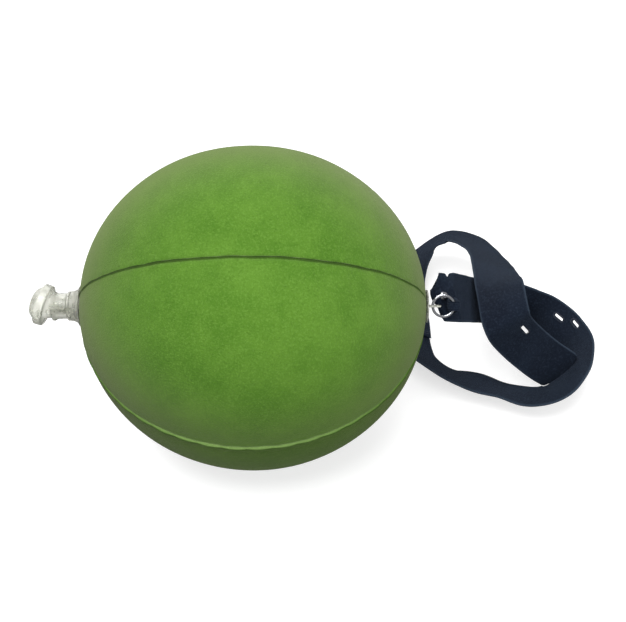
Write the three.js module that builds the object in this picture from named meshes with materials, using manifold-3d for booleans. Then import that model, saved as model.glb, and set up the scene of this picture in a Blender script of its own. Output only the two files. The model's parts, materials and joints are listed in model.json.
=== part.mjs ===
// Inflatable swing-training ball on a slotted neck strap.
// Millimetres, +Z up. The X axis runs through both poles of the ball: the valve is at
// the -X pole, the strap's ring at the +X pole. The origin is the outer end of the anchor
// tab. The measures below are from the ball's centre, and meshOf shifts every piece.
// An angle round the X axis is 0 towards -Y and 90 straight up.

import * as THREE from 'three';
import { LoftGeometry } from 'three/addons/geometries/LoftGeometry.js';
import { mergeVertices } from 'three/addons/utils/BufferGeometryUtils.js';
import Module from 'manifold-3d';

const wasm = await Module();
wasm.setup();

// ---- driving dimensions ----

const GAP = 0.3;
const TURNED_SEGMENTS = 28;

const BALL_HALF_LENGTH = 84;
const BALL_RADIUS = 80;
const SKIN = 0.8;
const GORE_COUNT = 5;
const FIRST_GORE_ANGLE = 90;
const GORE_ROWS = 26;
const GORE_COLUMNS = 12;
const GORE_COLUMN_CROWDING = 1.5;
const SEAM_SAG = 0.046;
const SEAM_GROOVE_DEPTH = 1.8;
const SEAM_GROOVE_WIDTH = 3;

const DISC_RADIUS = 12;
const DISC_THICKNESS = 1;

const STEM_RADIUS = 6.3;
const BORE_RADIUS = 4.1;
const STEM_LIP_RADIUS = 7.2;
const STEM_INNER_X = -78;
const STEM_OUTER_X = -98.4;
const COLLAR_X = -90.2;
const STEM_HOLE_RADIUS = 7.9;
const FLANGE_RADIUS = 10.4;
const FLANGE_CHAMFER = 0.4;
const CLEAR_SHEET = 0.8;

const PLUG_SEAT_X = -101;
const PLUG_RADIUS = 10.2;
const PLUG_RIM = 4.2;
const PLUG_HEIGHT = 7.9;
const PLUG_FLAT_RADIUS = 5.4;
const PLUG_SHOULDER_RADIUS = 8.2;
const PLUG_CHAMFER = 0.6;
const PLUG_LEAN = 18;
const PLUG_LEAN_ANGLE = 128.6;
const SHANK_RADIUS = 3.7;
const SHANK_LENGTH = 14;
const SHANK_POINT = 1.5;
const TETHER_ANGLE = 39;
const TETHER_WIDTH = 4;
const TETHER_THICKNESS = 0.9;
const TETHER_LIFT = 1.1;
const TETHER_BULGE = 3.6;

const FLAP_RADIUS = 5;
const FLAP_TAB = 1.4;

const TAB_BASE_RADIUS = 8;
const TAB_WIDTH = 9;
const TAB_THICKNESS = 1;
const TAB_END_X = 91.5;
const TAB_CORNER = 2.5;
const TAB_HOLE_RADIUS = 1.6;
const TAB_HOLE_X = 87.6;
const TAB_NORMAL_ANGLE = 126;

const RING_RADIUS = 5.2;
const RING_WIRE_RADIAL = 1.3;
const RING_WIRE_AXIAL = 0.8;
const RING_PITCH = 0.95;
const RING_TURNS = 1.93;
const RING_STEPS_PER_TURN = 43;

const STRAP_WIDTH = 25;
const STRAP_THICKNESS = 1.5;
const STRAP_STEP = 0.25;
const STRAP_COLUMNS = 4;
const STRAP_EDGE_THINNING = 0.2;
const STRAP_END_CORNER = 4;
const STRAP_END_SLANT = 4;
const SLOT_LENGTH = 6;
const SLOT_WIDTH = 1.8;
const RING_LENGTH_SLOTS = [{ station: 6.1, aside: 4 }, { station: 6.9, aside: 8 }];
const FREE_LENGTH_SLOTS = [{ station: 25, aside: 5.5 }];
const JOIN_STATION = 16;
const JOIN_HALF = 0.5;
const JOIN_RUNOUT = 0.8;

const LOOP_WIDTH = 5;
const LOOP_OUTER_RADIUS = 3.2;
const LOOP_INNER_RADIUS = 2;
const LOOP_LEG = 6.7;

const STUD_STATION = 0.45;
const STUD_HEAD_RADIUS = 2.2;
const STUD_HEAD_THICKNESS = 0.9;
const STUD_CAP_THICKNESS = 0.9;
const STUD_CLEARANCE = 0.5;
const STUD_POST_RADIUS = 0.9;
const STUD_HOLE_RADIUS = 1.2;
const STUD_PEEN_RADIUS = 1.5;
const STUD_PEEN_THICKNESS = 0.4;

// The strap lies loosely coiled. Each station gives a point of its centre line and the
// direction of its width there, towards the edge that starts on top.
const STATIONS = [
  { at: [90, 9, 0], across: [0.1, 0.7, 0.7] }, // flap behind the ring
  { at: [98, 11, -3], across: [0, 0.7, 0.7] },
  { at: [107, 24, -14], across: [-0.1, 0.7, 0.7] }, // falls away from the ring
  { at: [122, 49, -35], across: [-0.2, 0.5, 0.8] },
  { at: [138, 67, -49], across: [0, 0, 1] },
  { at: [155, 72, -57], across: [0.2, -0.1, 1] }, // far side
  { at: [166, 62, -60], across: [0.5, 0.1, 0.8] },
  { at: [173, 51, -62], across: [0.5, 0.1, 0.8] },
  { at: [175, 37, -62], across: [0.6, -0.1, 0.8] }, // right-hand end of the coil
  { at: [169, 20, -63], across: [0.7, -0.3, 0.7] },
  { at: [158, 8, -64], across: [0.4, -0.8, 0.5] },
  { at: [146, 7, -67], across: [-0.2, -0.9, 0.3] }, // near side
  { at: [131, 13, -68], across: [-0.4, -0.9, 0.4] },
  { at: [116, 20, -68], across: [-0.4, -0.9, 0.3] },
  { at: [101, 28, -68], across: [-0.6, -0.6, 0.5] },
  { at: [88, 47, -69], across: [-0.8, -0.2, 0.5] }, // passes beside the ball
  { at: [85, 81, -71], across: [-1, 0, 0.2] }, // sewn join
  { at: [86, 114, -70], across: [-0.9, 0.3, -0.2] },
  { at: [98, 132, -62], across: [-0.4, 0.8, -0.5] }, // back arch
  { at: [110, 135, -53], across: [0.4, 0.9, -0.2] },
  { at: [122, 126, -48], across: [0.9, 0.4, -0.2] },
  { at: [130, 93, -36], across: [1, 0, -0.3] },
  { at: [128, 55, -20], across: [1, 0, -0.1] }, // crosses over the first length
  { at: [126, 30, -12], across: [0.9, 0, 0.3] },
  { at: [128, 13, -20], across: [0.8, 0.2, 0.4] },
  { at: [136, 18, -35], across: [0.7, 0.4, 0.5] },
  { at: [151, 23, -53], across: [0.7, 0.4, 0.5] },
  { at: [162, 25, -63], across: [0.7, 0.3, 0.6] }, // free end
];

// ---- materials ----

const flock = new THREE.MeshStandardMaterial({ color: 0x5c8f33, roughness: 0.95, metalness: 0 });
const clearPvc = new THREE.MeshStandardMaterial({
  color: 0xcfd2c6, roughness: 0.25, metalness: 0, transparent: true, opacity: 0.55,
});
const chrome = new THREE.MeshStandardMaterial({ color: 0xc9ccd0, roughness: 0.2, metalness: 1 });
const fabric = new THREE.MeshStandardMaterial({ color: 0x171a26, roughness: 0.9, metalness: 0 });

// ---- helpers ----

const radians = THREE.MathUtils.degToRad;

/** Point at a distance from the X axis, at an angle round it. */
function around(x, radius, degrees) {
  const angle = radians(degrees);
  return new THREE.Vector3(x, -radius * Math.cos(angle), radius * Math.sin(angle));
}

/** Turns a geometry into a manifold-3d solid. */
function solidOf(geometry) {
  const bare = new THREE.BufferGeometry();
  bare.setAttribute('position', geometry.getAttribute('position'));
  bare.setIndex(geometry.getIndex());
  const merged = mergeVertices(bare, 1e-4);
  return new wasm.Manifold(new wasm.Mesh({
    numProp: 3,
    vertProperties: new Float32Array(merged.attributes.position.array),
    triVerts: new Uint32Array(merged.index.array),
  }));
}

/** Turns a manifold-3d solid back into a geometry. */
function geometryOf(solid) {
  const mesh = solid.getMesh();
  const geometry = new THREE.BufferGeometry();
  geometry.setAttribute('position', new THREE.BufferAttribute(mesh.vertProperties, 3));
  geometry.setIndex(new THREE.BufferAttribute(mesh.triVerts, 1));
  geometry.computeVertexNormals();
  return geometry;
}

/** Revolves a closed [x, radius] profile about the X axis. */
function turnedAboutX(profile) {
  const points = profile.map(([x, radius]) => new THREE.Vector2(radius, x));
  return new THREE.LatheGeometry(points, TURNED_SEGMENTS).rotateZ(-Math.PI / 2);
}

/** A named piece, shifted so that the origin is the outer end of the anchor tab. */
function meshOf(name, geometry, material) {
  const mesh = new THREE.Mesh(geometry.translate(-TAB_END_X, 0, 0), material);
  mesh.name = name;
  return mesh;
}

// ---- ball ----

/** Radius of the ball's skin at a polar angle, for the outer or the inner face. */
function ellipsePoint(polar, inset) {
  return {
    x: -(BALL_HALF_LENGTH - inset) * Math.cos(polar),
    radius: (BALL_RADIUS - inset) * Math.sin(polar),
  };
}

/** Polar angle at which the ball's skin has a given radius about the X axis. */
function polarAtRadius(radius) {
  return Math.asin(radius / BALL_RADIUS);
}

/** One gore: a strip of skin from pole to pole that bulges between its two seams. */
function goreGeometry(centreAngle) {
  const halfAngle = 180 / GORE_COUNT;
  const first = polarAtRadius(DISC_RADIUS * (1 + SEAM_SAG) + GAP);
  const skinPoint = (row, across, inset) => {
    const polar = first + (Math.PI - 2 * first) * row / GORE_ROWS;
    const { x, radius } = ellipsePoint(polar, inset);
    const halfGapAngle = THREE.MathUtils.radToDeg(GAP / 2 / ellipsePoint(polar, 0).radius);
    const spread = 1 - (1 - Math.abs(across)) ** GORE_COLUMN_CROWDING;
    const angle = Math.sign(across) * spread * (halfAngle - halfGapAngle);
    const toSeam = radians(halfAngle - Math.abs(angle)) * radius;
    const nearSeam = Math.exp(-((toSeam / SEAM_GROOVE_WIDTH) ** 2));
    const groove = SEAM_GROOVE_DEPTH * Math.sin(polar) ** 2 * nearSeam;
    const sag = SEAM_SAG * radius * (angle / halfAngle) ** 2;
    return around(x, radius - sag - groove, centreAngle + angle);
  };
  const sections = [];
  for (let column = 0; column <= GORE_COLUMNS; column += 1) {
    const across = 2 * column / GORE_COLUMNS - 1;
    const section = [];
    for (let row = 0; row <= GORE_ROWS; row += 1) section.push(skinPoint(row, across, 0));
    for (let row = GORE_ROWS; row >= 0; row -= 1) section.push(skinPoint(row, across, SKIN));
    sections.push(section);
  }
  return new LoftGeometry(sections, { closed: true, capStart: true, capEnd: true });
}

/** Domed disc that closes a pole, with a hole for the valve when holeRadius is above zero. */
function poleDiscGeometry(side, holeRadius) {
  const rim = polarAtRadius(DISC_RADIUS);
  const hole = holeRadius > 0 ? polarAtRadius(holeRadius) : 0;
  const steps = 4;
  const face = (inset) => {
    const points = [];
    for (let step = 0; step <= steps; step += 1) {
      const { x, radius } = ellipsePoint(hole + (rim - hole) * step / steps, inset);
      points.push([side * -x, radius]);
    }
    return points;
  };
  const profile = [...face(0), ...face(DISC_THICKNESS).reverse()];
  if (holeRadius > 0) profile.push(profile[0]);
  if (side > 0) profile.reverse();
  return turnedAboutX(profile);
}

function ballMeshes() {
  const meshes = [];
  for (let index = 0; index < GORE_COUNT; index += 1) {
    const centre = FIRST_GORE_ANGLE - index * 360 / GORE_COUNT;
    meshes.push(meshOf(`gore_${index + 1}`, goreGeometry(centre), flock));
  }
  meshes.push(meshOf('valve_end_disc', poleDiscGeometry(-1, STEM_HOLE_RADIUS), flock));
  meshes.push(meshOf('strap_end_disc', poleDiscGeometry(1, 0), flock));
  return meshes;
}

// ---- valve ----

const FLANGE_X = -BALL_HALF_LENGTH - GAP;

/** Clear washer welded on the valve-end disc. */
function valveFlangeGeometry() {
  return turnedAboutX([
    [FLANGE_X, STEM_HOLE_RADIUS],
    [FLANGE_X - CLEAR_SHEET, STEM_HOLE_RADIUS],
    [FLANGE_X - CLEAR_SHEET, FLANGE_RADIUS - FLANGE_CHAMFER],
    [FLANGE_X, FLANGE_RADIUS],
    [FLANGE_X, STEM_HOLE_RADIUS],
  ]);
}

/** Soft cone between the flange and the stem: it folds inwards when the stem is pushed in. */
function valveWebGeometry() {
  const wide = FLANGE_X - CLEAR_SHEET - GAP;
  const narrow = COLLAR_X + 1;
  return turnedAboutX([
    [wide, STEM_HOLE_RADIUS + CLEAR_SHEET],
    [wide, STEM_HOLE_RADIUS],
    [narrow, STEM_RADIUS + GAP],
    [narrow, STEM_RADIUS + GAP + CLEAR_SHEET],
    [wide, STEM_HOLE_RADIUS + CLEAR_SHEET],
  ]);
}

/** Stem tube with a lip at its mouth and a collar that holds the tether. */
function valveStemGeometry() {
  const lip = 1.2;
  const collar = 1;
  return turnedAboutX([
    [STEM_INNER_X, BORE_RADIUS],
    [STEM_OUTER_X, BORE_RADIUS],
    [STEM_OUTER_X, STEM_LIP_RADIUS],
    [STEM_OUTER_X + lip, STEM_LIP_RADIUS],
    [STEM_OUTER_X + 2 * lip, STEM_RADIUS],
    [COLLAR_X - collar, STEM_RADIUS],
    [COLLAR_X - collar / 2, STEM_LIP_RADIUS],
    [COLLAR_X + collar / 2, STEM_LIP_RADIUS],
    [COLLAR_X + collar / 2, STEM_RADIUS],
    [STEM_INNER_X, STEM_RADIUS],
    [STEM_INNER_X, BORE_RADIUS],
  ]);
}

/** Plug: a domed head that leans on a straight, pointed shank. */
function valvePlugGeometry() {
  const shoulder = (PLUG_RIM + PLUG_HEIGHT) / 2;
  const head = turnedAboutX([
    [-PLUG_HEIGHT, 0],
    [-PLUG_HEIGHT, PLUG_FLAT_RADIUS],
    [-shoulder, PLUG_SHOULDER_RADIUS],
    [-PLUG_RIM, PLUG_RADIUS - PLUG_CHAMFER],
    [-PLUG_RIM + PLUG_CHAMFER, PLUG_RADIUS],
    [-PLUG_CHAMFER, PLUG_RADIUS],
    [0, PLUG_RADIUS - PLUG_CHAMFER],
    [0, 0],
  ]);
  const shank = turnedAboutX([
    [-PLUG_RIM / 2, 0],
    [-PLUG_RIM / 2, SHANK_RADIUS],
    [SHANK_LENGTH - SHANK_POINT, SHANK_RADIUS],
    [SHANK_LENGTH, SHANK_RADIUS - PLUG_CHAMFER],
    [SHANK_LENGTH, 0],
  ]);
  const lean = radians(PLUG_LEAN);
  const outward = around(-Math.cos(lean), Math.sin(lean), PLUG_LEAN_ANGLE);
  head.applyQuaternion(new THREE.Quaternion().setFromUnitVectors(new THREE.Vector3(-1, 0, 0), outward));
  return geometryOf(solidOf(head).add(solidOf(shank))).translate(PLUG_SEAT_X, 0, 0);
}

/** Soft strip that keeps the plug on the stem. */
function plugTetherGeometry() {
  const radial = around(0, 1, TETHER_ANGLE);
  const across = around(0, 1, TETHER_ANGLE + 90);
  const path = new THREE.QuadraticBezierCurve(
    new THREE.Vector2(PLUG_SEAT_X + 2, STEM_LIP_RADIUS + TETHER_LIFT),
    new THREE.Vector2((PLUG_SEAT_X + COLLAR_X) / 2, STEM_LIP_RADIUS + TETHER_BULGE),
    new THREE.Vector2(COLLAR_X - TETHER_THICKNESS / 2, STEM_LIP_RADIUS + TETHER_LIFT),
  );
  const steps = 8;
  const sections = [];
  for (let step = 0; step <= steps; step += 1) {
    const point = path.getPoint(step / steps);
    const tangent = path.getTangent(step / steps);
    const centre = new THREE.Vector3(point.x, 0, 0).addScaledVector(radial, point.y);
    const normal = new THREE.Vector3(-tangent.y, 0, 0).addScaledVector(radial, tangent.x);
    const corner = (a, b) => centre.clone()
      .addScaledVector(across, a * TETHER_WIDTH / 2)
      .addScaledVector(normal, b * TETHER_THICKNESS / 2);
    sections.push([corner(-1, -1), corner(1, -1), corner(1, 1), corner(-1, 1)]);
  }
  return new LoftGeometry(sections, { closed: true, capStart: true, capEnd: true });
}

/** Round flap over the stem's inner end, with a lug at its hinge. */
function checkFlapGeometry() {
  const outline = new THREE.Shape();
  const lugHalf = 1.6;
  const lugAngle = Math.asin(lugHalf / FLAP_RADIUS);
  outline.absarc(0, 0, FLAP_RADIUS, Math.PI / 2 + lugAngle, Math.PI * 2.5 - lugAngle, false);
  outline.lineTo(lugHalf, FLAP_RADIUS + FLAP_TAB);
  outline.lineTo(-lugHalf, FLAP_RADIUS + FLAP_TAB);
  outline.closePath();
  const flat = new THREE.ExtrudeGeometry(outline, {
    depth: CLEAR_SHEET, bevelEnabled: false, curveSegments: 20,
  });
  // The outline's plane turns to face along X, with the lug on top.
  return flat.rotateX(Math.PI / 2).rotateZ(Math.PI / 2).translate(STEM_INNER_X + GAP, 0, 0);
}

function valveMeshes() {
  return [
    meshOf('valve_flange', valveFlangeGeometry(), clearPvc),
    meshOf('valve_web', valveWebGeometry(), clearPvc),
    meshOf('valve_stem', valveStemGeometry(), clearPvc),
    meshOf('check_flap', checkFlapGeometry(), clearPvc),
    meshOf('valve_plug', valvePlugGeometry(), clearPvc),
    meshOf('plug_tether', plugTetherGeometry(), clearPvc),
  ];
}

// ---- anchor tab and split ring ----

// The tab stands on the strap-end disc. Its frame: X out of the ball, Y across the tab,
// Z through its thickness and through its hole.
const tabFrame = new THREE.Matrix4().makeBasis(
  new THREE.Vector3(1, 0, 0),
  around(0, 1, TAB_NORMAL_ANGLE - 90).negate(),
  around(0, 1, TAB_NORMAL_ANGLE),
);

/** Clear round base with a holed tab standing on it, in one moulding. */
function anchorTabGeometry() {
  const baseX = BALL_HALF_LENGTH + GAP;
  const base = turnedAboutX([
    [baseX, 0],
    [baseX, TAB_BASE_RADIUS],
    [baseX + CLEAR_SHEET, TAB_BASE_RADIUS - 0.5],
    [baseX + CLEAR_SHEET, 0],
  ]);
  const outline = new THREE.Shape();
  const half = TAB_WIDTH / 2;
  const bendX = TAB_END_X - TAB_CORNER;
  outline.moveTo(baseX + CLEAR_SHEET / 2, -half);
  outline.lineTo(bendX, -half);
  outline.absarc(bendX, -half + TAB_CORNER, TAB_CORNER, -Math.PI / 2, 0, false);
  outline.absarc(bendX, half - TAB_CORNER, TAB_CORNER, 0, Math.PI / 2, false);
  outline.lineTo(baseX + CLEAR_SHEET / 2, half);
  outline.closePath();
  const hole = new THREE.Path();
  hole.absarc(TAB_HOLE_X, 0, TAB_HOLE_RADIUS, 0, Math.PI * 2, true);
  outline.holes.push(hole);
  const plate = new THREE.ExtrudeGeometry(outline, {
    depth: TAB_THICKNESS, bevelEnabled: false, curveSegments: 12,
  }).translate(0, 0, -TAB_THICKNESS / 2).applyMatrix4(tabFrame);
  return geometryOf(solidOf(base).add(solidOf(plate)));
}

/** Split ring: nearly two turns of flat wire, threaded through the tab's hole. */
function splitRingGeometry() {
  const steps = Math.round(RING_TURNS * RING_STEPS_PER_TURN);
  const sweep = RING_TURNS * 2 * Math.PI;
  const sections = [];
  for (let step = 0; step <= steps; step += 1) {
    const turned = sweep * (step / steps - 0.5);
    const level = RING_PITCH * (step / steps - 0.5) * RING_TURNS;
    const corner = (radial, axial) => {
      const radius = RING_RADIUS + radial * RING_WIRE_RADIAL / 2;
      return new THREE.Vector3(
        TAB_HOLE_X + RING_RADIUS + radius * Math.cos(turned),
        level + axial * RING_WIRE_AXIAL / 2,
        radius * Math.sin(turned),
      ).applyMatrix4(tabFrame);
    };
    sections.push([corner(-1, -1), corner(1, -1), corner(1, 1), corner(-1, 1)]);
  }
  return new LoftGeometry(sections, { closed: true, capStart: true, capEnd: true });
}

function ringMeshes() {
  return [
    meshOf('anchor_tab', anchorTabGeometry(), clearPvc),
    meshOf('split_ring', splitRingGeometry(), chrome),
  ];
}

// ---- strap ----

const centreLine = new THREE.CatmullRomCurve3(
  STATIONS.map((station) => new THREE.Vector3(...station.at)), false, 'catmullrom', 0.5,
);
const acrossLine = new THREE.CatmullRomCurve3(
  STATIONS.map((station) => new THREE.Vector3(...station.across)), false, 'catmullrom', 0.5,
);

/** The strap's frame at a station number: centre, tangent, width and facing directions. */
function strapFrame(station) {
  const t = station / (STATIONS.length - 1);
  const tangent = centreLine.getTangent(t);
  const across = acrossLine.getPoint(t);
  across.addScaledVector(tangent, -across.dot(tangent)).normalize();
  const facing = new THREE.Vector3().crossVectors(tangent, across);
  return { centre: centreLine.getPoint(t), tangent, across, facing };
}

/**
 * A length of strap between two stations, with its corners cut where it ends freely.
 * Where it is sewn, it steps aside by half a ply.
 */
function strapSolid(from, to, plySide) {
  const rows = Math.round((to - from) / STRAP_STEP);
  const sections = [];
  for (let row = 0; row <= rows; row += 1) {
    const station = from + (to - from) * row / rows;
    const { centre, tangent, across, facing } = strapFrame(station);
    const fromJoin = Math.abs(station - JOIN_STATION) - JOIN_HALF;
    const aside = 1 - THREE.MathUtils.smoothstep(fromJoin, 0, JOIN_RUNOUT);
    centre.addScaledVector(facing, plySide * aside * (STRAP_THICKNESS / 2 + GAP));
    const isFreeEnd = station === STATIONS.length - 1;
    const halfWidth = STRAP_WIDTH / 2 - (isFreeEnd ? STRAP_END_CORNER : 0);
    const slant = isFreeEnd ? STRAP_END_SLANT / 2 : 0;
    const facePoint = (column, face) => {
      const wide = 2 * column / STRAP_COLUMNS - 1;
      const half = STRAP_THICKNESS / 2 * (1 - STRAP_EDGE_THINNING * wide ** 2);
      return centre.clone()
        .addScaledVector(across, wide * halfWidth)
        .addScaledVector(tangent, (1 + wide) * slant)
        .addScaledVector(facing, face * half);
    };
    const section = [];
    for (let column = 0; column <= STRAP_COLUMNS; column += 1) section.push(facePoint(column, -1));
    for (let column = STRAP_COLUMNS; column >= 0; column -= 1) section.push(facePoint(column, 1));
    sections.push(section);
  }
  return solidOf(new LoftGeometry(sections, { closed: true, capStart: true, capEnd: true }));
}

/** Places a geometry that is drawn with its X along the strap, its Y across it. */
function onStrap(geometry, station) {
  const { centre, tangent, across, facing } = strapFrame(station);
  const place = new THREE.Matrix4().makeBasis(tangent, across, facing).setPosition(centre);
  return geometry.applyMatrix4(place);
}

/** A buttonhole cutter: a long round-ended prism through the strap, off its centre line. */
function slotCutter({ station, aside }) {
  const straight = (SLOT_LENGTH - SLOT_WIDTH) / 2;
  const outline = new THREE.Shape();
  outline.absarc(straight, 0, SLOT_WIDTH / 2, -Math.PI / 2, Math.PI / 2, false);
  outline.absarc(-straight, 0, SLOT_WIDTH / 2, Math.PI / 2, Math.PI * 1.5, false);
  outline.closePath();
  const depth = 4 * STRAP_THICKNESS;
  const prism = new THREE.ExtrudeGeometry(outline, { depth, bevelEnabled: false, curveSegments: 6 });
  return solidOf(onStrap(prism.translate(0, aside, -depth / 2), station));
}

/** The gathered loop round the ring's wire, drawn in the tab's frame and seen along its Z. */
function ringLoopGeometry() {
  const wireX = TAB_HOLE_X + 2 * RING_RADIUS;
  const outline = new THREE.Shape();
  outline.absarc(wireX, 0, LOOP_OUTER_RADIUS, -Math.PI, 0, false);
  outline.lineTo(wireX + LOOP_OUTER_RADIUS, LOOP_LEG);
  outline.lineTo(wireX - LOOP_OUTER_RADIUS, LOOP_LEG);
  outline.closePath();
  const opening = new THREE.Path();
  opening.absarc(wireX, 0, LOOP_INNER_RADIUS, 0, Math.PI * 2, true);
  outline.holes.push(opening);
  return new THREE.ExtrudeGeometry(outline, {
    depth: LOOP_WIDTH, bevelEnabled: false, curveSegments: 16,
  }).translate(0, 0, -LOOP_WIDTH / 2).applyMatrix4(tabFrame);
}

/** Turned piece on the stud's axis, from a [height above the strap's middle, radius] profile. */
function studGeometry(profile) {
  const points = profile.map(([height, radius]) => new THREE.Vector2(radius, height));
  return onStrap(new THREE.LatheGeometry(points, 24).rotateX(Math.PI / 2), STUD_STATION);
}

/** Stud: a domed head in front of the strap, a post through it and a peened end behind. */
function studPostGeometry() {
  const front = STRAP_THICKNESS / 2 + STUD_CLEARANCE;
  const back = -front - STUD_CAP_THICKNESS - GAP;
  return studGeometry([
    [back - STUD_PEEN_THICKNESS, 0],
    [back - STUD_PEEN_THICKNESS, STUD_PEEN_RADIUS],
    [back, STUD_PEEN_RADIUS],
    [back, STUD_POST_RADIUS],
    [front, STUD_POST_RADIUS],
    [front, STUD_HEAD_RADIUS],
    [front + STUD_HEAD_THICKNESS / 2, STUD_HEAD_RADIUS],
    [front + STUD_HEAD_THICKNESS, STUD_HEAD_RADIUS / 2],
    [front + STUD_HEAD_THICKNESS, 0],
  ]);
}

/** Washer behind the strap, held by the peened end. */
function studCapGeometry() {
  const near = -STRAP_THICKNESS / 2 - STUD_CLEARANCE;
  const far = near - STUD_CAP_THICKNESS;
  return studGeometry([
    [far, STUD_HOLE_RADIUS],
    [far, STUD_HEAD_RADIUS],
    [near, STUD_HEAD_RADIUS],
    [near, STUD_HOLE_RADIUS],
    [far, STUD_HOLE_RADIUS],
  ]);
}

/** Round cutter for the stud's hole. */
function studHoleCutter() {
  const reach = 2 * STRAP_THICKNESS;
  return solidOf(studGeometry([
    [-reach, 0],
    [-reach, STUD_HOLE_RADIUS],
    [reach, STUD_HOLE_RADIUS],
    [reach, 0],
  ]));
}

function strapMeshes() {
  const lastStation = STATIONS.length - 1;
  let ringLength = strapSolid(0, JOIN_STATION + JOIN_HALF, -1);
  for (const slot of RING_LENGTH_SLOTS) ringLength = ringLength.subtract(slotCutter(slot));
  ringLength = ringLength.subtract(studHoleCutter());
  let freeLength = strapSolid(JOIN_STATION - JOIN_HALF, lastStation, 1);
  for (const slot of FREE_LENGTH_SLOTS) freeLength = freeLength.subtract(slotCutter(slot));
  return [
    meshOf('ring_loop', ringLoopGeometry(), fabric),
    meshOf('strap_ring_length', geometryOf(ringLength), fabric),
    meshOf('strap_free_length', geometryOf(freeLength), fabric),
    meshOf('stud_post', studPostGeometry(), chrome),
    meshOf('stud_cap', studCapGeometry(), chrome),
  ];
}

const group = new THREE.Group();
group.add(...ballMeshes(), ...valveMeshes(), ...ringMeshes(), ...strapMeshes());

export default group;
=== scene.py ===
# Looks of an inflatable swing-training ball on a slotted neck strap, built round its packed
# CAD frame. Metres, +Z up, X through both poles of the ball: the valve is at -X and the strap
# at +X. The origin is the outer end of the anchor tab. An angle round X is 0 towards -Y and
# 90 straight up.

import json
import math

import bmesh
import bpy
import numpy as np
from mathutils import Matrix, Vector


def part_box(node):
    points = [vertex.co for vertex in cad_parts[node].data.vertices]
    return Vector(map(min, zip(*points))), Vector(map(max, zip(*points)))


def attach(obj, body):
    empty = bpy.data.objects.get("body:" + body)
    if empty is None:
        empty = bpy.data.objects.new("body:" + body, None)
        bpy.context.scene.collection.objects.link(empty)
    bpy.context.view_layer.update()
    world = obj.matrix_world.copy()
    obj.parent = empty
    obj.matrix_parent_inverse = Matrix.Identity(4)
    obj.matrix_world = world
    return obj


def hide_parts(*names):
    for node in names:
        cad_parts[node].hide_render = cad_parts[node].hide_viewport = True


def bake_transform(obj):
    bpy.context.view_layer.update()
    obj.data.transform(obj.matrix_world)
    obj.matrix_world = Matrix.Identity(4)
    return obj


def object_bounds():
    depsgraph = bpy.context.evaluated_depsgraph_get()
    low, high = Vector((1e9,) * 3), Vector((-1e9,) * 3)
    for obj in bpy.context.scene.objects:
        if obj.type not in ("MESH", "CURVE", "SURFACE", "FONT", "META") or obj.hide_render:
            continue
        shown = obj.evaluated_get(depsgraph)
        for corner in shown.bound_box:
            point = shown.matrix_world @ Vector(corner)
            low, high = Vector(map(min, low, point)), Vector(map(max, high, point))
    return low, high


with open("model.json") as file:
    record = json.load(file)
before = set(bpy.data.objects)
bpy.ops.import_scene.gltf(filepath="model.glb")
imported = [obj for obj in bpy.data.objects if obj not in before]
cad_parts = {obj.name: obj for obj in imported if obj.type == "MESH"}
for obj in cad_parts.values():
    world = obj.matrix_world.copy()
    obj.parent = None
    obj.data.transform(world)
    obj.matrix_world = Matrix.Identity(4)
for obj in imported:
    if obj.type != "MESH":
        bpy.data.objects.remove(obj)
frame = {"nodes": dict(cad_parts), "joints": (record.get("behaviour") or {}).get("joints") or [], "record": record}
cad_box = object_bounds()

MM = 0.001
JOINTS = {joint["name"]: joint for joint in frame["joints"]}

# ---- sizes ----

BALL_CENTRE_X = (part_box("gore_1")[0].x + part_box("gore_1")[1].x) / 2
BALL_HALF_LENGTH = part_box("strap_end_disc")[1].x - BALL_CENTRE_X
BALL_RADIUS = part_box("gore_1")[1].z
DISC_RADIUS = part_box("strap_end_disc")[1].z
GORE_NODES = sorted(name for name in frame["nodes"] if name.startswith("gore_"))
HALF_GORE = math.pi / len(GORE_NODES)

GORE_ROWS = 230
GORE_COLUMNS = 60
# Above 1, this crowds a gore's columns towards its seams.
GORE_CROWDING = 2.2
SEAM_SAG = 0.046
SEAM_GAP = 0.14 * MM
SKIN = 0.7 * MM
WELT_HEIGHT = 0.3 * MM
WELT_PLACE = 2.0 * MM
WELT_WIDTH = 1.4 * MM
FIN_HEIGHT = 1.6 * MM
FIN_WIDTH = 0.5 * MM
FIN_TAPER = 8 * MM
SCALLOP_LENGTH = 11 * MM
PUCKER_DEPTH = 0.3 * MM
PUCKER_REACH = 6 * MM
PUCKER_START = 0.8 * MM
SEAM_WANDER = 0.22 * MM
DENT_DEPTH = 0.15 * MM
DENT_LENGTH = 13 * MM
DENT_WIDTH = 11 * MM
# Width of the painted highlight along a seam.
SEAM_HIGHLIGHT_WIDTH = 0.9 * MM
# Shares of a painted highlight along a seam: on top, where it turns under, and underneath.
PALE_TOP = 0.05
PALE_TURNING = 0.5
PALE_UNDER = 0.12
# Share of painted shade on the gores underneath.
SHADE_UNDER = 0.33

VALVE_HOLE = 7.9 * MM
STEM_RADIUS = 6.3 * MM
BORE_RADIUS = 4.1 * MM
PLUG_HEIGHT = 7.9 * MM
PLUG_RADIUS = 10.2 * MM
PLUG_RIM = 4.2 * MM
SKIRT_RADIUS = 5.9 * MM
SHANK_RADIUS = 3.7 * MM
SHANK_LENGTH = 14 * MM
TETHER_WIDTH = 4 * MM
TETHER_THICKNESS = 0.9 * MM

TAB_WIDTH = 9 * MM
TAB_THICKNESS = 1 * MM
TAB_HOLE_RADIUS = 1.6 * MM
RING_WIRE_RADIAL = 1.3 * MM
RING_WIRE_AXIAL = 0.8 * MM
RING_TURNS = 1.93
RING_PITCH = 0.95 * MM

STRAP_WIDTH = 25 * MM
STRAP_THICKNESS = 1.5 * MM
STRAP_EDGE_THICKNESS = 1.2 * MM
STRAP_ROW = 1.0 * MM
STRAP_COLUMNS = 66
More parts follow.
